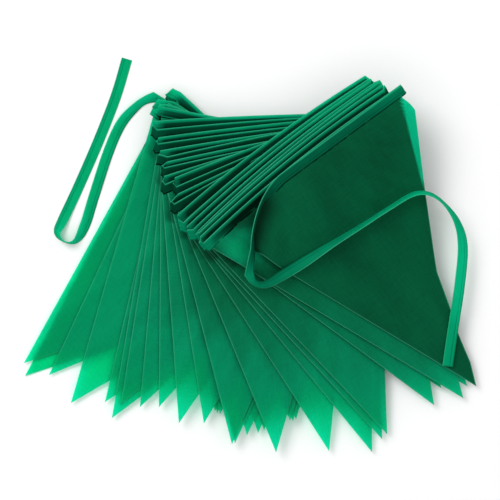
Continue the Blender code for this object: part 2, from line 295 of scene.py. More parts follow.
# The right edge of the top pennant: shares of the way to the tip, and how far it lies out to the right there.
# Only the outer part of the cloth bows with it.
RIGHT_EDGE = (
    (0.0, 0.0), (0.038, 0.3), (0.056, 6.0), (0.077, 10.0), (0.349, -0.6),
    (0.614, -9.5), (0.732, -5.8), (0.826, -4.2), (0.92, 0.4), (1.0, 0.0),
)
OUTER_PART = (0.35, 1.0)

# The fan's pleats: where they run together, how far from there they grow, how they sway, and their waves
FAN_APEX = (272.0, 132.0)
PLEAT_GROWTH = (25.0, 130.0)
SWAY = 0.05
SWAY_LENGTH = 47.0
Pleat = namedtuple("Pleat", "turns phase height")
PLEATS = (
    Pleat(23.0, 0.4, 0.55),
    Pleat(37.0, 2.1, 0.42),
    Pleat(61.0, 4.0, 0.22),
)

# The ripple of each layer's own: its height, its length both ways, and how it moves on from layer to layer
RIPPLE = 0.12
RIPPLE_LENGTH = (5.9, 7.3)
RIPPLE_STEP = (1.7, 2.9)

# Measures of the cloth's surface in metres: how wide the painted highlights along the cut edge and along the
# tape's fold are, how far in the stitches lie, how wide their line is and how long one is with its gap, and
# where the painted shade along the tape's open edge starts and how wide it is
EDGE_HIGHLIGHT = 0.0011
FOLD_LIGHT = 0.0011
STITCH_PLACE = 0.0072
STITCH_WIDTH = 0.0006
STITCH_LENGTH = 0.0028
OPEN_EDGE = 0.0085
OPEN_EDGE_WIDTH = 0.0016

# Points closer than this in metres are one point, for the cloth at its tip and for the tape along its edges
TIP_MERGE = 1e-6
TAPE_MERGE = 1e-7

# The stage: the pale floor, the light of the room, the lamp above the upper left, and the lens in millimetres
# and the place of the camera. Other lengths here are metres.
FLOOR_HALF = 4.0
FLOOR_COLOUR = (0.93, 0.93, 0.93, 1.0)
FLOOR_ROUGHNESS = 0.9
ROOM_LIGHT = 0.80
LAMP_PLACE = (-1.5, 1.5, 2.4)
LAMP_ENERGY = 50.0
LAMP_SIZE = 1.6
LENS_LENGTH = 360.0
SENSOR_WIDTH = 36.0
CAMERA_PLACE = (0.0, 0.0045, 5.0)


def on_table(x, y):
    """A place on the layout sheet as a point about the origin, in millimetres."""
    return np.array((x - SHEET_CENTRE[0], SHEET_CENTRE[1] - y), float)


def smooth(low, high, value):
    """0 below low and 1 above high, with a smooth climb between. It falls where low is the greater one."""
    share = np.clip((value - low) / (high - low), 0.0, 1.0)
    return share * share * (3.0 - 2.0 * share)


class Layer:
    """One pennant laid flat: its heading's middle and direction, and its corners."""

    def __init__(self, row):
        angle = math.radians(row.rise)
        self.mid = on_table(row.mid_x, row.mid_y)
        self.tip = on_table(row.tip_x, row.tip_y)
        self.along = np.array((math.cos(angle), math.sin(angle)))
        self.inward = np.array((math.sin(angle), -math.cos(angle)))
        self.down = (self.tip - self.mid) / PENNANT_LENGTH

    def place(self, across, depth, taper):
        """The point that lies across from the heading's middle and depth below the heading."""
        width = across * (1.0 - depth / PENNANT_LENGTH) if taper else across
        return self.mid + np.multiply.outer(width, self.along) + np.multiply.outer(depth, self.down)


LAYERS = [Layer(row) for row in PENNANTS]


class Pile:
    """The top of everything laid so far, as heights at the nodes of one lattice of square cells."""

    def __init__(self):
        self.count = np.ceil(2 * np.array(LATTICE_HALF) / CELL).astype(int) + 1
        self.top = np.zeros(self.count)

    def triangle(self, spots):
        """The lattice triangle at each place: its three nodes, and their weights there."""
        place = (spots + np.array(LATTICE_HALF)) / CELL
        low = np.clip(np.floor(place).astype(int), 0, self.count - 2)
        part = place - low
        across = part[:, 0] >= part[:, 1]
        side = low + np.where(across[:, None], (1, 0), (0, 1))
        more, less = part.max(axis=1), part.min(axis=1)
        return np.stack((low, side, low + 1)), np.stack((1.0 - more, more - less, less))

    def height(self, spots, field):
        """The height of a field of node heights at each place."""
        nodes, weights = self.triangle(spots)
        return (weights * field[nodes[..., 0], nodes[..., 1]]).sum(axis=0)

    def drape(self):
        """Node heights for the next sheet: on the pile, and drooping softly past its edges."""
        wide = np.pad(self.top, 1, mode="edge")
        size = self.top.shape
        around = sum(wide[i:i + size[0], j:j + size[1]] for i in range(3) for j in range(3)) / 9
        return np.maximum(self.top, around)

    def cover(self, spots, field, rise):
        """Lays a sheet that follows the field: the nodes about it come up by its rise."""
        nodes = self.triangle(spots)[0].reshape(-1, 2)
        column, row = nodes[:, 0], nodes[:, 1]
        self.top[column, row] = np.maximum(self.top[column, row], field[column, row] + rise)

    def clear(self, spots, heights):
        """Brings nodes up until the pile is no lower than these heights, and none of them past its height."""
        nodes, weights = self.triangle(spots)
        for column, row, weight, height in zip(nodes[..., 0].T, nodes[..., 1].T, weights.T, heights):
            values = self.top[column, row]
            for _ in range(CLEAR_ROUNDS):
                low = values < height
                lack = height - weight @ values
                if lack <= 0.0:
                    break
                values[low] += lack * weight[low] / (weight[low] ** 2).sum()
                values = np.where(low, np.minimum(values, height), values)
            if weight @ values < height:
                values = np.maximum(values, height)
            self.top[column, row] = values


def curl(level, across, depth):
    """What the curled corner of the top pennant adds to a place: shift on the table, and lift."""
    if level != TOP:
        return np.zeros((len(across), 2)), np.zeros(len(across))
    reach = np.clip((CURL_START - across) / (HALF_HEADING + CURL_START), 0.0, CURL_MOST)
    amount = reach**CURL_POWER * (1.0 - smooth(0.0, CURL_DEPTH, depth))
    layer = LAYERS[level]
    shift = np.multiply.outer(amount, CURL_ALONG * layer.along + CURL_IN * layer.inward)
    return shift, CURL_LIFT * np.sin(np.pi * np.clip(amount, 0.0, 1.0)) + CURL_RISE * amount


def spread(level):
    """Places all over a pennant and its tape, and just past their edges."""
    ends = LAYERS[level].place(np.array((-HALF_HEADING, HALF_HEADING)), np.zeros(2), True)
    outline = np.vstack((ends, LAYERS[level].tip))
    outline = outline + (outline - outline.mean(axis=0)) * EDGE_MARGIN
    share = np.linspace(0.0, 1.0, SPREAD_STEPS)
    one, two = (grid.ravel() for grid in np.meshgrid(share, share))
    weights = np.column_stack((1.0 - one, one * (1.0 - two), one * two))
    return weights @ outline


def heading_stations(level):
    """Where the tape bends along a heading: at its ends and where it crosses the lattice's lines."""
    layer = LAYERS[level]
    start, end = (layer.place(side * HALF_HEADING, TAPE_WIDTH / 2, False) for side in (-1.0, 1.0))
    lines = [[0.0, 1.0]]
    for square in ((1.0, 0.0), (0.0, 1.0), (1.0, -1.0)):
        first, last = ((point + np.array(LATTICE_HALF)) @ np.array(square) / CELL for point in (start, end))
        crossed = np.arange(math.ceil(min(first, last)), math.floor(max(first, last)) + 1)
        lines.append((crossed - first) / (last - first) if abs(last - first) > LEAST_CROSSING else [])
    if level == TOP:
        lines.append(np.linspace(0.0, 0.5, CURL_STATIONS))
    least = LEAST_STATION / (2 * HALF_HEADING)
    kept = [0.0]
    for share in np.sort(np.concatenate(lines))[1:]:
        if share - kept[-1] > least and share < 1.0 - least:
            kept.append(share)
    return (np.array([*kept, 1.0]) * 2.0 - 1.0) * HALF_HEADING


def lay_heading(pile, level, field):
    """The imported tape's underside along one heading, in the way that the tape is sewn."""
    across = heading_stations(level)
    if level % 2:
        across = across[::-1]
    across = np.repeat(across, 2)
    depth = np.tile((0.0, TAPE_WIDTH), len(across) // 2)
    shift, lift = curl(level, across, depth)
    spots = LAYERS[level].place(across, depth, False) + shift
    return np.column_stack((spots, pile.height(spots, field) + TAPE_SEAT + lift))


def loop_ends(level, depth):
    """One edge of a loop of bare tape from above: where it leaves and comes back, its fold and its way."""
    side = -1.0 if level % 2 else 1.0
    ends = [
        LAYERS[count].place(side * HALF_HEADING, depth, False)
        + curl(count, np.array([side * HALF_HEADING]), np.array([depth]))[0][0]
        for count in (level, level + 1)
    ]
    out = side * (LAYERS[level].along + LAYERS[level + 1].along)
    out = out / np.linalg.norm(out)
    farthest = max(end @ out for end in ends)
    middle = (ends[0] + ends[1]) / 2
    return ends, middle + out * (farthest + LOOP_REACH - middle @ out), out


def half_loop(pile, field, level, share, half):
    """Half of a loop, on what it lies on."""
    edges = []
    for depth in (0.0, TAPE_WIDTH):
        ends, fold, _ = loop_ends(level, depth)
        spots = ends[half] + np.multiply.outer(np.array(share), fold - ends[half])
        edges.append(np.column_stack((spots, pile.height(spots, field) + TAPE_SEAT)))
    return np.stack(edges, axis=1).reshape(-1, 3)


def smooth_route(bends, gap):
    """Points a little apart on a Catmull-Rom curve through the bends: x, y, roll and lift."""
    knots = np.array([(*on_table(bend.x, bend.y), bend.roll, bend.lift) for bend in bends])
    knots = np.vstack((2 * knots[0] - knots[1], knots, 2 * knots[-1] - knots[-2]))
    route = []
    for before, start, end, after in zip(knots, knots[1:], knots[2:], knots[3:]):
        steps = max(1, round(float(np.linalg.norm(end[:2] - start[:2])) / gap))
        for t in np.arange(steps) / steps:
            route.append(
                0.5 * (2 * start + (end - before) * t + (2 * before - 5 * start + 4 * end - after) * t**2
                       + (3 * start - before - 3 * end + after) * t**3)
            )
    return np.array([*route, knots[-2]])


def tie_edges(height, bends, gap, outer_side, seat):
    """Both edges of a tie on a surface that height gives. outer_side is 1 where its fold is on the left."""
    route = smooth_route(bends, gap)
    way = np.gradient(route[:, :2], axis=0)
    way = way / np.linalg.norm(way, axis=1)[:, None]
    left = np.column_stack((-way[:, 1], way[:, 0]))
    roll = np.radians(np.clip(route[:, 2], -90.0, 90.0))
    half = TAPE_WIDTH / 2
    edges = []
    for side in (outer_side, -outer_side):
        flat = route[:, :2] + left * (side * half * np.cos(roll))[:, None]
        rise = half * np.abs(np.sin(roll)) * (1.0 + side * np.sign(roll))
        lift = np.clip(route[:, 3], 0.0, None)
        base = np.maximum(height(flat), height(route[:, :2]))
        edges.append(np.column_stack((flat, base + seat + rise + lift)))
    return np.stack(edges, axis=1)


def clear_tape(pile, points):
    """Brings the pile up over a stretch of tape."""
    edges = points.reshape(-1, 2, 3)
    share = np.linspace(0.0, 1.0, CLEAR_ALONG)[:, None, None, None]
    along = edges[:-1] * (1.0 - share) + edges[1:] * share
    width = np.linspace(-CLEAR_PAST, 1.0 + CLEAR_PAST, CLEAR_ACROSS)[:, None, None, None]
    every = (along[None, :, :, 0] * (1.0 - width) + along[None, :, :, 1] * width).reshape(-1, 3)
    pile.clear(every[:, :2], every[:, 2] + TAPE_THICK + TAPE_GAP)


def lay_out():
    """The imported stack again: the node heights that each pennant follows, and those on top of the last."""
    pile = Pile()
    first = tie_edges(lambda spots: pile.height(spots, pile.top), FIRST_TIE, TIE_STATION_GAP, 1.0, 0.0)
    clear_tape(pile, first[-TUCKED_STATIONS:])
    fields = []
    for level in range(len(LAYERS)):
        field = pile.drape()
        fields.append(field)
        heading = lay_heading(pile, level, field)
        if level:
            upper = half_loop(pile, field, level - 1, UPPER_LOOP, 1)
        pile.cover(spread(level), field, CLOTH_THICK + LAYER_GAP)
        if level:
            clear_tape(pile, np.vstack((upper, heading[:2])))
        if level < TOP:
            clear_tape(pile, heading)
            lower = half_loop(pile, field, level, LOWER_LOOP, 0)
            clear_tape(pile, np.vstack((heading[-2:], lower)))
    return [*fields, pile.drape()]


FIELDS = lay_out()


def bend_weights(part):
    """The four weights of a cubic B-spline at a share of a cell."""
    return np.stack(
        ((1 - part) ** 3, 3 * part**3 - 6 * part**2 + 4, -3 * part**3 + 3 * part**2 + 3 * part + 1, part**3)
    ) / 6


def soft_height(level, spots):
    """The height of the smooth sheet that follows a pennant's nodes. Its weights are never negative, so a
    sheet that is higher at the nodes stays higher everywhere."""
    wide = np.pad(FIELDS[level], 1, mode="edge")
    place = (spots + np.array(LATTICE_HALF)) / CELL
    low = np.clip(np.floor(place).astype(int), 0, np.array(FIELDS[level].shape) - 2)
    part = place - low
    columns, rows = bend_weights(part[:, 0]), bend_weights(part[:, 1])
    total = np.zeros(len(spots))
    for i in range(4):
        for j in range(4):
            total += columns[i] * rows[j] * wide[low[:, 0] + i, low[:, 1] + j]
    return total


def pleats(spots):
    """The folds that all the layers share: they run out from the headings like a fan's."""
    away = spots - on_table(*FAN_APEX)
    reach = np.hypot(away[:, 0], away[:, 1])
    turn = np.arctan2(away[:, 1], away[:, 0])
    bent = turn + SWAY * np.sin(reach / SWAY_LENGTH + 2.0 * turn)
    grown = smooth(*PLEAT_GROWTH, reach)
    return sum(grown * pleat.height * (1.0 + np.sin(pleat.turns * bent + pleat.phase)) for pleat in PLEATS)


def bow(level, across, depth):
    """How far a heading bows out of its straight line, away from the tips."""
    height = BOWS[level] * (1.0 - (across / HALF_HEADING) ** 2) * (1.0 - smooth(0.0, BOW_DEPTH, depth))
    return -np.multiply.outer(height, LAYERS[level].inward)


def cover(level, spots, near, fade):
    """How many pennants lie under each place of a layer, and how close it is to the heading and to the cut
    edges of one that lies over it, from 0 to 1; both closenesses are painted as shade. near is the reach of a
    heading's shade a few layers down, and fade is how far from the heading's ends it starts to go."""
    below, by_heading, by_edge = np.zeros(len(spots)), np.zeros(len(spots)), np.zeros(len(spots))
    for other, layer in enumerate(LAYERS):
        if other == level:
            continue
        axes = np.column_stack((layer.along, layer.down))
        across, depth = np.linalg.solve(axes, (spots - layer.mid).T)
        over = np.abs(across) - HALF_HEADING * (1.0 - depth / PENNANT_LENGTH)
        if other < level:
            below += smooth(-SOFT_EDGE, SOFT_EDGE, depth) * smooth(SOFT_EDGE, -SOFT_EDGE, over)
            continue
        reach = near if other - level < NEAR_LAYERS else FAR_SHADE
        beyond = -depth - BOWS[other] * (1.0 - (across / HALF_HEADING) ** 2)
        if other == TOP:
            beyond += curl(TOP, across, np.zeros(len(across)))[0] @ layer.inward
        close = np.clip(1.0 - beyond / reach, 0.0, 1.0)
        close = close * smooth(HALF_HEADING, HALF_HEADING - fade, np.abs(across))
        if other == TOP:
            close *= smooth(*CURL_PART, across)
        by_heading = np.maximum(by_heading, np.where(depth < SHADED_DEPTH, close, 0.0))
        within = (depth > 0.0) & (depth < PENNANT_LENGTH)
        by_edge = np.maximum(by_edge, np.where(within, np.clip(1.0 - over / EDGE_SHADE, 0.0, 1.0), 0.0))
    # Painted shade: a dark wedge beside the top pennant's curl, on the layer just below it
    if level == TOP - 1:
        low, high = (on_table(0.0, line)[1] for line in WEDGE)
        by_heading = np.maximum(by_heading, WEDGE_SHADE * smooth(low, high, spots[:, 1]))
    return below, by_heading, by_edge


def light_coming_through(level, below, spots):
    """How much light still comes back through a layer with so many others below it: it is painted into the
    cloth's colour and also sets how much of it glows. The top pennant is single only along the upper part of
    its right edge, and the layer below it gets a patch of painted light beside the curl."""
    # Painted light, with less of it on the right and in the upper layers short of their tips
    thin = np.exp(-below / DARK_STACK) * (1.0 - RIGHT_SHADE * smooth(*RIGHT_PART, spots[:, 0]))
    deep = np.hypot(*(spots - LAYERS[level].mid).T)
    thin = thin * (1.0 - UPPER_SHADE * smooth(*UPPER_LEVELS, level) * (1.0 - smooth(*UPPER_TIPS, deep)))
    if level == TOP:
        start, end = (on_table(*place) for place in SINGLE_LINE)
        way = (end - start) / np.linalg.norm(end - start)
        beyond = (spots - start) @ np.array((-way[1], way[0]))
        return smooth(*SINGLE_START, beyond) * smooth(0.0, SINGLE_END, (end - spots) @ way)
    if level == TOP - 1:
        # A patch of painted light beside the top pennant's curl
        away = np.hypot(*(spots - on_table(*LIT_PATCH)).T)
        return np.maximum(thin, np.exp(-((away / LIT_PATCH_REACH) ** 2)))
    return thin


def curl_shadow(level, across, depth):
    """The painted shadow inside the top pennant's curled heading."""
    if level != TOP:
        return np.zeros(len(across))
    return INSIDE_SHADOW * smooth(*INSIDE_ALONG, across) * smooth(*INSIDE_DEEP, depth)


def stand(level, across, depth):
    """How the curled heading of the top pennant also stands on edge: shift on the table, and lift."""
    if level != TOP:
        return np.zeros((len(across), 2)), np.zeros(len(across))
    turn = np.radians(STAND_TURN) * smooth(*STAND_START, across)
    turn = turn * (1.0 - STAND_FALL * smooth(*STAND_END, across))
    within = np.clip(depth, 0.0, TAPE_WIDTH)
    pulled = within * (1.0 - np.cos(turn)) * (1.0 - smooth(TAPE_WIDTH, STAND_DEPTH, depth))
    return -np.multiply.outer(pulled, LAYERS[level].inward), (TAPE_WIDTH - within) * np.sin(turn)


def turned_up(level, across, depth):
    """The curl of the top pennant's heading and its stand on edge together: shift on the table, and lift."""
    parts = zip(curl(level, across, depth), stand(level, across, depth))
    return [one + two for one, two in parts]


def sheet_height(level, spots):
    """The middle of a pennant's cloth over the table, in millimetres."""
    waves = np.sin(spots / np.array(RIPPLE_LENGTH) + level * np.array(RIPPLE_STEP))
    return soft_height(level, spots) + pleats(spots) + RIPPLE * waves[:, 0] * waves[:, 1] + CLOTH_THICK / 2


class Value:
    """A shader socket that takes part in a sum."""

    def __init__(self, finish, socket):
        self.finish = finish
        self.socket = socket

    def __add__(self, other):
        return self.finish.sum("ADD", self, other)

    def __sub__(self, other):
        return self.finish.sum("SUBTRACT", self, other)

    def __rsub__(self, other):
        return self.finish.sum("SUBTRACT", other, self)

    def __mul__(self, other):
        return self.finish.sum("MULTIPLY", self, other)

    def __truediv__(self, other):
        return self.finish.sum("DIVIDE", self, other)

    def __abs__(self):
        return self.finish.sum("ABSOLUTE", self, 0.0)

    __radd__ = __add__
    __rmul__ = __mul__

    def sine(self):
        """The sine of an angle in radians."""
        return self.finish.sum("SINE", self, 0.0)

    def least(self, other):
        """The smaller of two."""
        return self.finish.sum("MINIMUM", self, other)

    def most(self, other):
        """The greater of two."""
        return self.finish.sum("MAXIMUM", self, other)

    def clipped(self):
        """Brought into the range from 0 to 1."""
        return self.most(0.0).least(1.0)


class Finish:
    """A material and the nodes that make it."""

    def __init__(self, name):
        self.material = bpy.data.materials.new(name)
        self.material.use_nodes = True
        self.tree = self.material.node_tree
        self.tree.nodes.clear()

    def node(self, kind, settings, values, output=0):
        """A node with its settings, then its sockets set or joined. Gives one of its outputs."""
        made = self.tree.nodes.new(kind)
        for name, setting in settings.items():
            setattr(made, name, setting)
        for name, value in values.items():
            if isinstance(value, Value):
                self.tree.links.new(value.socket, made.inputs[name])
            else:
                made.inputs[name].default_value = value
        return Value(self, made.outputs[output] if len(made.outputs) else None)

    def sum(self, operation, one, two):
        """What a sum of two values gives."""
        return self.node("ShaderNodeMath", {"operation": operation}, {0: one, 1: two})

    def uv(self):
        """The flat cloth's own measures in metres: along, and in from the fold or heading."""
        place = self.node("ShaderNodeUVMap", {"uv_map": "UVMap"}, {})
        apart = self.node("ShaderNodeSeparateXYZ", {}, {0: place})
        nodes = apart.socket.node
        return place, Value(self, nodes.outputs[0]), Value(self, nodes.outputs[1])

    def noise(self, place, stretch, scale, detail, rough=0.5):
        """Soft noise on the flat cloth, stretched along one way or the other."""
        laid = self.node("ShaderNodeMapping", {}, {"Vector": place, "Scale": (*stretch, 1.0)})
        values = {"Vector": laid, "Scale": scale, "Detail": detail, "Roughness": rough}
        return self.node("ShaderNodeTexNoise", {"noise_dimensions": "3D"}, values)

    def tone(self, name):
        """A value that the mesh carries at its points."""
        return self.node("ShaderNodeAttribute", {"attribute_name": name}, {}, output=2)

    def mix(self, factor, one, two):
        """A colour between two."""
        settings = {"data_type": "RGBA", "blend_type": "MIX"}
        return self.node("ShaderNodeMix", settings, {0: factor, 6: one, 7: two}, output=2)

    def bump(self, height, distance, strength, under=None):
        """A surface direction that follows a height, over another bump where one is given."""
        values = {"Height": height, "Distance": distance, "Strength": strength}
        if under is not None:
            values["Normal"] = under
        return self.node("ShaderNodeBump", {}, values)

    def cloth(self, colour, roughness, gloss, normal, glow, share):
        """Cloth that light falls on and shines through: share of it is glow."""
        lit = self.node(
            "ShaderNodeBsdfPrincipled",
            {},
            {
                "Base Color": colour,
                "Roughness": roughness,
                "Specular IOR Level": gloss,
                "Normal": normal,
            },
        )
        through = self.node("ShaderNodeBsdfTranslucent", {}, {"Color": glow})
        both = self.node("ShaderNodeMixShader", {}, {0: share, 1: lit, 2: through})
        self.node("ShaderNodeOutputMaterial", {}, {"Surface": both})
        return self.material


def tinted(colour, times):
    """A colour made lighter or darker, with its alpha."""
    return (*(min(1.0, part * times) for part in colour[:3]), 1.0)


def pennant_finish(sizes):
    """Thin woven cloth with painted highlights along its cut edges, painted light where few layers lie under
    it and painted shade beside what lies over it.
    """
    make = Finish("pennant_cloth")
    place, along, deep = make.uv()
    turn = 2.0 * math.pi / (sizes.thread_pitch * 2.0)
    weave = (along * turn).sine() * (deep * turn).sine()
    slub = make.noise(place, (1.0, 0.06), 900.0, 2.0) + make.noise(place, (0.06, 1.0), 900.0, 2.0)
    soft = make.noise(place, (1.0, 0.35), 38.0, 3.0)
    broad = make.noise(place, (1.0, 0.6), 14.0, 1.0)
    grain = make.noise(place, (1.0, 1.0), 1100.0, 1.0)
    slant = turn * 0.6
    net = ((along + deep) * slant).sine() * ((along - deep) * slant).sine()
    half = MM * HALF_HEADING * (1.0 - deep / (MM * PENNANT_LENGTH))
    # Painted highlight along both cut edges
    edge = 1.0 - ((half - abs(along)) / EDGE_HIGHLIGHT).clipped()
    threads = 0.7 * (slub - 1.0) + 0.6 * (grain - 0.5) + 0.12 * weave + 0.3 * net
    shade = (0.5 + 0.9 * (soft - 0.5) + threads).clipped()
    # Painted light and shade: lit and shaded copies of the cloth's colour by how much light comes through,
    # then near black in painted shade beside the headings and cut edges that lie over it
    thin = make.tone("thin")
    painted_shade = make.tone("shade")
    lit = make.mix(shade, tinted(sizes.cloth_colour, 0.8), tinted(sizes.cloth_colour, 1.2))
    varied = (shade + (broad - 0.5) * 1.6).clipped()
    shaded_tone = make.mix(varied, tinted(sizes.painted_shade_colour, 0.7), tinted(sizes.painted_shade_colour, 1.35))
    body = make.mix(thin, shaded_tone, lit)
    edge_highlighted = make.mix(edge * 0.5, body, tinted(sizes.highlight_colour, 1.0))
    colour = make.mix(painted_shade * 0.9, edge_highlighted, tinted(sizes.painted_shade_colour, 0.08))
    share = (thin * thin * sizes.glow_share) * (1.0 - painted_shade * 0.9) * (0.78 + shade * 0.44)
    folds = make.bump(make.noise(place, (1.0, 0.12), 55.0, 2.0), 0.0025, 0.55)
    normal = make.bump(weave * 0.5 + slub * 0.5, 0.0003, 0.5, folds)
    return make.cloth(colour, 0.6, 0.03, normal, tinted(sizes.glow_colour, 1.0), share)


def tape_finish(sizes):
    """The same cloth folded into a tape, with a line of stitches near its open edge, a painted highlight
    along its fold, painted light where few layers lie under it, and painted shade between the headings and
    along its open edge.
    """
    make = Finish("tape_cloth")
    place, along, deep = make.uv()
    turn = 2.0 * math.pi / (sizes.thread_pitch * 2.0)
    weave = (along * turn).sine() * (deep * turn).sine()
    slub = make.noise(place, (0.08, 1.0), 700.0, 2.0)
    soft = make.noise(place, (1.0, 0.5), 60.0, 3.0)
    line = 1.0 - (abs(deep - STITCH_PLACE) / STITCH_WIDTH).clipped()
    stitch = (along * (2.0 * math.pi / STITCH_LENGTH)).sine()
    shade = (0.5 + 0.8 * (soft - 0.5) + 0.5 * (slub - 0.5) + 0.1 * weave).clipped()
    # Painted shade from the headings over the tape, and along its open edge
    painted_shade = (make.tone("shade") + ((deep - OPEN_EDGE) / OPEN_EDGE_WIDTH).clipped() * 0.45).clipped()
    thin = make.tone("thin")
    # Painted light: lit and shaded copies of the tape's colour by how much light comes through
    lit = make.mix(shade, tinted(sizes.tape_colour, 0.8), tinted(sizes.tape_colour, 1.2))
    shaded_tone = make.mix(shade, tinted(sizes.tape_colour, 0.3), tinted(sizes.tape_colour, 0.5))
    body = make.mix(thin, shaded_tone, lit)
    # Painted highlight along the fold
    fold = 1.0 - (deep / FOLD_LIGHT).clipped()
    fold_highlighted = make.mix(fold * 0.6, body, tinted(sizes.highlight_colour, 0.9))
    sewn = make.mix(line * (0.8 - 0.12 * stitch), fold_highlighted, tinted(sizes.tape_colour, 0.2))
    colour = make.mix(painted_shade * 0.97, sewn, tinted(sizes.painted_shade_colour, 0.05))
    share = (thin * sizes.tape_glow_share) * (1.0 - painted_shade)
    folds = make.bump(make.noise(place, (1.0, 0.4), 120.0, 2.0), 0.0012, 0.5)
    normal = make.bump(slub * 0.5 + weave * 0.3 + line * stitch * 0.8, 0.0003, 0.6, folds)
    return make.cloth(colour, 0.5, 0.01, normal, tinted(sizes.glow_colour, 0.95), share)


def grid_sheet(columns, rows, points, marks, tones):
    """A bmesh grid moved onto points, row by row, with its marks as the UV map and tones as named values."""
    shape = bmesh.new()
    bmesh.ops.create_grid(shape, x_segments=columns - 1, y_segments=rows - 1, size=1.0)
    for name in tones:
        shape.verts.layers.float.new(name)
    layer = shape.loops.layers.uv.new("UVMap")
    order = sorted(shape.verts, key=lambda vert: (round(vert.co.y, 6), round(vert.co.x, 6)))
    number = {}
    for count, vert in enumerate(order):
        vert.co = points[count]
        number[vert] = count
    for name, values in tones.items():
        tone = shape.verts.layers.float[name]
        for vert, value in zip(order, values):
            vert[tone] = value
    for face in shape.faces:
        for loop in face.loops:
            loop[layer].uv = marks[number[loop.vert]]
        face.smooth = True
    return shape


def finished(name, shape, material):
    """An object from a bmesh, at the origin."""
    mesh = bpy.data.meshes.new(name)
    shape.to_mesh(mesh)
    shape.free()
    mesh.materials.append(material)
    piece = bpy.data.objects.new(name, mesh)
    bpy.context.scene.collection.objects.link(piece)
    return piece


def edge_bow(level, across, depth):
    """How far the right edge of the top pennant bows, out near its heading and in along its middle."""
    if level != TOP:
        return np.zeros(len(across))
    near = smooth(*OUTER_PART, across / HALF_HEADING)
    return near * np.interp(depth / PENNANT_LENGTH, *zip(*RIGHT_EDGE))


def pennant_piece(level, material, thick):
    """One pennant's cloth, from inside its tape to its tip."""
    finer, spacing = (TOP_FINER, TOP_SPACING) if level == TOP else (1, 1.0)
    columns, rows = (CLOTH_COLUMNS - 1) * finer + 1, (CLOTH_ROWS - 1) * finer + 1
    share = 1.0 - 2.0 * np.linspace(1.0, 0.0, columns) ** spacing
    depth = np.linspace(TUCK_DEPTH, PENNANT_LENGTH, rows)
    across, depth = (grid.ravel() for grid in np.meshgrid(share * HALF_HEADING, depth))
    layer = LAYERS[level]
    flat = layer.place(across, depth, True)
    width = (flat - layer.mid) @ layer.along
    inward = (flat - layer.mid) @ layer.inward
    shift, lift = turned_up(level, width, inward)
    flat = flat + shift + bow(level, width, depth)
    flat[:, 0] += edge_bow(level, across, depth)
    points = np.column_stack((flat, sheet_height(level, flat) + lift)) * MM
    marks = np.column_stack((across * (1.0 - depth / PENNANT_LENGTH), depth)) * MM
    below, by_heading, by_edge = cover(level, flat, FAR_SHADE, CLOTH_FADE)
    # Painted shade beside the headings and cut edges that lie over this cloth, and inside the curl
    painted_shade = np.maximum(HEADING_SHARE * by_heading, EDGE_SHARE * by_edge)
    painted_shade = np.maximum(painted_shade, curl_shadow(level, width, inward))
    tones = {"thin": light_coming_through(level, below, flat), "shade": painted_shade}
    shape = grid_sheet(columns, rows, points, marks, tones)
    bmesh.ops.remove_doubles(shape, verts=shape.verts, dist=TIP_MERGE)
    bmesh.ops.recalc_face_normals(shape, faces=shape.faces)
    piece = finished(f"cloth_{level + 1:02d}", shape, material)
    solid = piece.modifiers.new("thickness", "SOLIDIFY")
    solid.thickness = thick
    solid.offset = 0.0
    return piece


def table_top(spots):
    """The height of the table, which the first tie lies on."""
    return np.zeros(len(spots))


def stack_top(spots):
    """The height of the top of the stack, which the last tie lies on."""
    return soft_height(TOP + 1, spots) + pleats(spots)


def heading_course(level):
    """Both edges of the tape along one heading. Every other heading is sewn the other way."""
    count = round(2 * HALF_HEADING / HEADING_STEP) + 1
    across = np.linspace(-HALF_HEADING, HALF_HEADING, count)
    if level % 2:
        across = across[::-1]
    edges = []
    for depth in (0.0, TAPE_WIDTH):
        deep = np.full(count, depth)
        shift, lift = turned_up(level, across, deep)
        spots = LAYERS[level].place(across, deep, False) + shift + bow(level, across, deep)
        edges.append(np.column_stack((spots, sheet_height(level, spots) + lift)))
    return np.stack(edges, axis=1)


def tape_course():
    """Both edges of the whole tape, station by station: the free tie, headings and loops, and the last tie.
    With each part goes the level that it lies at."""
    course = [tie_edges(table_top, FIRST_TIE, TIE_STEP, 1.0, FIRST_SEAT)]
    levels = [-1]
    for level in range(len(LAYERS)):
        course.append(heading_course(level))
        levels.append(level)
        if level < TOP:
            course.append(loop_course(level))
            levels.append(level + 1)
    course.append(tie_edges(stack_top, LAST_TIE, TIE_STEP, -1.0, LAST_SEAT))
    levels.append(TOP + 1)
    return course, levels


def loop_course(level):
    """A loop of bare tape from one heading to the next: out along the lower, round its fold, and back."""
    edges = []
    for depth in (0.0, TAPE_WIDTH):
        ends, fold, out = loop_ends(level, depth)
        fold = fold - out * (LOOP_REACH - SHORT_REACH)
        share = np.array(LOOP_SHARES)
        under = ends[0] + np.multiply.outer(share, fold - ends[0])
        back = ends[1] + np.multiply.outer(share[::-1], fold - ends[1])
        low = sheet_height(level, fold[None])[0]
        high = sheet_height(level + 1, fold[None])[0]
        turn = np.linspace(0.0, math.pi, FOLD_STATIONS)
        radius = (high - low) / 2
        round_it = fold + np.multiply.outer(radius * np.sin(turn), out)
        rising = (high + low) / 2 - radius * np.cos(turn)
        edges.append(np.vstack((
            np.column_stack((under, sheet_height(level, under))),
            np.column_stack((round_it, rising)),
            np.column_stack((back, sheet_height(level + 1, back))),
        )))
    return np.stack(edges, axis=1)


def heading_shade(level):
    """How much painted shade a heading's tape gets even where no other lies close."""
    if level == TOP:
        return TOP_SHADE
    return SUNK_SHADE if level in SUNK else 0.0


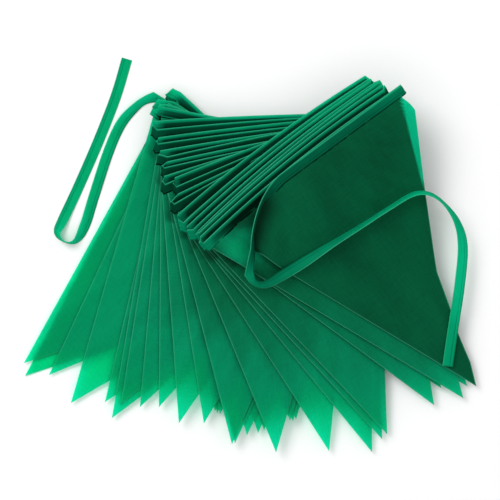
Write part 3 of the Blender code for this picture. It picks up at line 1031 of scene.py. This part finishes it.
def tape_piece(material):
    """The whole tape as one closed sweep of its profile."""
    course, levels = tape_course()
    tones = []
    for level, part in zip(levels, course):
        found = cover(level, part.reshape(-1, 3)[:, :2], NEAR_SHADE, TAPE_FADE)
        tones.append(np.array(found).reshape(3, -1, 2))
    tones = np.concatenate(tones, axis=1)
    edges = np.concatenate(course)
    middle = edges.mean(axis=1)
    run = np.gradient(middle, axis=0)
    run = run / np.linalg.norm(run, axis=1)[:, None]
    wide = edges[:, 1] - edges[:, 0]
    normal = np.cross(run, wide)
    normal = normal / np.linalg.norm(normal, axis=1)[:, None]
    length = np.concatenate(([0.0], np.cumsum(np.linalg.norm(np.diff(middle, axis=0), axis=1))))
    profile = [(step.width, step.half) for step in TAPE_PROFILE]
    profile += [(step.width, -step.half) for step in TAPE_PROFILE[-2::-1]]
    sewn = np.concatenate([np.full(len(part), 0.0 <= level < TOP) for level, part in zip(levels, course)])
    sewn = np.convolve(sewn, np.full(RIDGE_BLUR, 1 / RIDGE_BLUR), mode="same")
    own_shade = np.concatenate([np.full(len(part), heading_shade(level)) for level, part in zip(levels, course)])
    points, marks, thin, shade = [], [], [], []
    for width, half in profile:
        share = width / TAPE_WIDTH
        # Painted shade in the gaps under the next headings and on the sunk and top headings, and painted
        # light where few layers lie under the tape
        below, by_heading, _ = tones[..., 0] * (1.0 - share) + tones[..., 1] * share
        thin.append(np.exp(-below / DARK_STACK))
        gap = by_heading**GAP_POWER * smooth(*GAP_FROM_FOLD, width)
        shade.append(np.maximum(gap, own_shade * smooth(*OWN_SHADE_FROM_FOLD, width)))
        ridge = sewn * RIDGE_HEIGHT * math.exp(-((width - RIDGE_PLACE) / RIDGE_WIDTH) ** 2)
        place = edges[:, 0] + wide * share + normal * half
        points.append(place + np.multiply.outer(ridge, (0.0, 0.0, 1.0)))
        marks.append(np.column_stack((length, np.full(len(length), width))))
    points = np.concatenate(points) * MM
    marks = np.concatenate(marks) * MM
    tones = {"thin": np.concatenate(thin), "shade": np.concatenate(shade)}
    shape = grid_sheet(len(edges), len(profile), points, marks, tones)
    bmesh.ops.remove_doubles(shape, verts=shape.verts, dist=TAPE_MERGE)
    bmesh.ops.holes_fill(shape, edges=[edge for edge in shape.edges if edge.is_boundary], sides=0)
    bmesh.ops.recalc_face_normals(shape, faces=shape.faces)
    return finished("heading_tape", shape, material), float(length[-1]) * MM


class BuntingSizes(bpy.types.PropertyGroup):
    """Sizes and colours of the bunting"""

    cloth_thickness: FloatProperty(
        name="Cloth thickness", description="Thickness of the pennants' cloth", default=0.00035, unit="LENGTH"
    )
    thread_pitch: FloatProperty(
        name="Thread pitch", description="Distance between two threads", default=0.0009, unit="LENGTH"
    )
    cloth_colour: FloatVectorProperty(
        name="Cloth", description="Colour of the pennants", default=(0.0015, 0.44, 0.20), size=3,
        subtype="COLOR",
    )
    # Painted shade: the colour where many layers lie, and near black in the gaps between headings
    painted_shade_colour: FloatVectorProperty(
        name="Thick stack", description="Colour where many layers lie", default=(0.0005, 0.078, 0.031),
        size=3, subtype="COLOR",
    )
    # Painted highlight along the cut edges and the tape's fold
    highlight_colour: FloatVectorProperty(
        name="Cut edge", description="Colour of the cut edges", default=(0.07, 0.52, 0.30), size=3,
        subtype="COLOR",
    )
    tape_colour: FloatVectorProperty(
        name="Tape", description="Colour of the tape", default=(0.002, 0.45, 0.21), size=3, subtype="COLOR"
    )
    glow_colour: FloatVectorProperty(
        name="Glow", description="Colour of light through the cloth", default=(0.08, 1.0, 0.76), size=3,
        subtype="COLOR",
    )
    glow_share: FloatProperty(
        name="Glow share", description="Share of light that passes the cloth", default=0.78, min=0.0, max=1.0
    )
    tape_glow_share: FloatProperty(
        name="Tape glow share", description="Share of light that passes the tape", default=0.5, min=0.0,
        max=1.0,
    )


class BUNTING_OT_pennants(bpy.types.Operator):
    """Lay all the pennants, each on the one before"""

    bl_idname = "bunting.pennants"
    bl_label = "Pennants"

    def execute(self, context):
        sizes = context.scene.bunting_sizes
        material = pennant_finish(sizes)
        for level, row in enumerate(PENNANTS):
            piece = pennant_piece(level, material, sizes.cloth_thickness)
            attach(piece, "root")
            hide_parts(row.name)
        return {"FINISHED"}


class BUNTING_OT_tape(bpy.types.Operator):
    """Sew the folded tape along all the headings, with a free tie at each end"""

    bl_idname = "bunting.tape"
    bl_label = "Tape"

    def execute(self, context):
        sizes = context.scene.bunting_sizes
        piece, length = tape_piece(tape_finish(sizes))
        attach(piece, "root")
        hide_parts("tape")
        return {"FINISHED"}


def lamp(name, place, energy, size):
    """A soft light that points at the middle of the bunting."""
    data = bpy.data.lights.new(name, "AREA")
    data.energy = energy
    data.size = size
    lit = bpy.data.objects.new(name, data)
    lit.location = place
    away = -np.array(place)
    lit.rotation_euler = (
        math.atan2(math.hypot(away[0], away[1]), -away[2]), 0.0, math.atan2(away[1], away[0]) - math.pi / 2
    )
    bpy.context.scene.collection.objects.link(lit)


class BUNTING_OT_stage(bpy.types.Operator):
    """Set up the pale floor, the soft lights and the camera straight above"""

    bl_idname = "bunting.stage"
    bl_label = "Stage"

    def execute(self, context):
        scene = context.scene
        shape = bmesh.new()
        bmesh.ops.create_grid(shape, x_segments=1, y_segments=1, size=FLOOR_HALF)
        paper = Finish("pale_floor")
        white = {"Base Color": FLOOR_COLOUR, "Roughness": FLOOR_ROUGHNESS}
        lit = paper.node("ShaderNodeBsdfPrincipled", {}, white)
        paper.node("ShaderNodeOutputMaterial", {}, {"Surface": lit})
        finished("floor", shape, paper.material)

        world = bpy.data.worlds.new("soft_room")
        world.use_nodes = True
        room = world.node_tree.nodes["Background"]
        room.inputs["Color"].default_value = (1.0, 1.0, 1.0, 1.0)
        room.inputs["Strength"].default_value = ROOM_LIGHT
        scene.world = world
        lamp("key", LAMP_PLACE, LAMP_ENERGY, LAMP_SIZE)
        scene.view_settings.view_transform = "Standard"

        lens = bpy.data.cameras.new("camera")
        lens.lens = LENS_LENGTH
        lens.sensor_width = SENSOR_WIDTH
        camera = bpy.data.objects.new("camera", lens)
        camera.location = CAMERA_PLACE
        scene.collection.objects.link(camera)
        scene.camera = camera
        return {"FINISHED"}


class BUNTING_PT_panel(bpy.types.Panel):
    """The bunting's pieces and sizes"""

    bl_idname = "BUNTING_PT_panel"
    bl_label = "Bunting"
    bl_space_type = "VIEW_3D"
    bl_region_type = "UI"
    bl_category = "Bunting"

    def draw(self, context):
        for name in BuntingSizes.__annotations__:
            self.layout.prop(context.scene.bunting_sizes, name)
        for operator in OPERATORS:
            self.layout.operator(operator.bl_idname)


OPERATORS = (BUNTING_OT_pennants, BUNTING_OT_tape, BUNTING_OT_stage)
CLASSES = (BuntingSizes, *OPERATORS, BUNTING_PT_panel)


def register():
    for kind in CLASSES:
        bpy.utils.register_class(kind)
    bpy.types.Scene.bunting_sizes = PointerProperty(type=BuntingSizes)


def unregister():
    del bpy.types.Scene.bunting_sizes
    for kind in reversed(CLASSES):
        bpy.utils.unregister_class(kind)


def main():
    register()
    bpy.ops.bunting.pennants()
    bpy.ops.bunting.tape()
    bpy.ops.bunting.stage()


if __name__ == "__main__":
    main()
